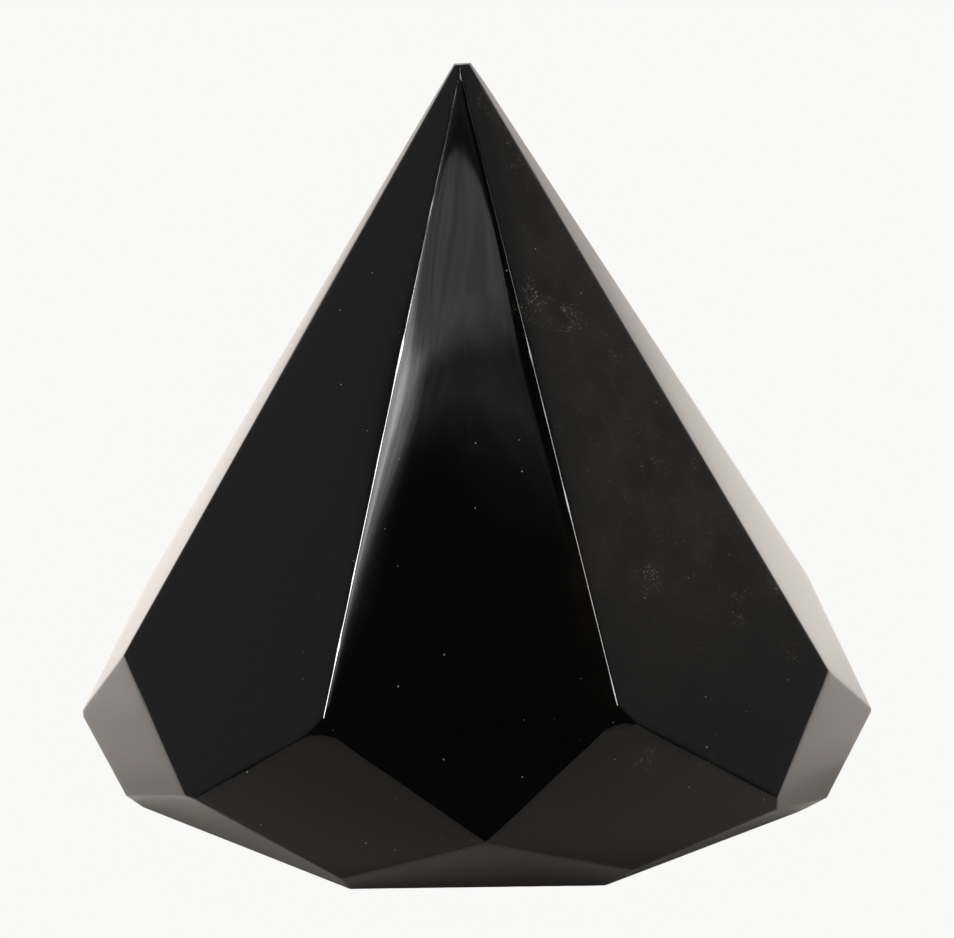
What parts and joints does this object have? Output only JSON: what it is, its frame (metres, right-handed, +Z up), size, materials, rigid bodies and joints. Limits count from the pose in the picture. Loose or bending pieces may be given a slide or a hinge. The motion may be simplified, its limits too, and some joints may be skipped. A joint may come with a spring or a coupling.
{
  "type": "faceted golden sheen obsidian",
  "caption": "Hand-cut and polished dark obsidian stone, a faceted cone that rises from a broad flat base to a small blunt tip.",
  "frame": {"origin": "on the flat base, under the middle of the girdle", "axes": "+Z up from the base to the tip, -Y towards the front crown facet, +X to the right of it"},
  "size_m": [0.0829, 0.0812, 0.0762],
  "materials": {
    "obsidian": "polished black volcanic glass with a faint golden sheen"
  },
  "bodies": {
    "root": {"faceted_stone": "obsidian"}
  },
  "joints": []
}
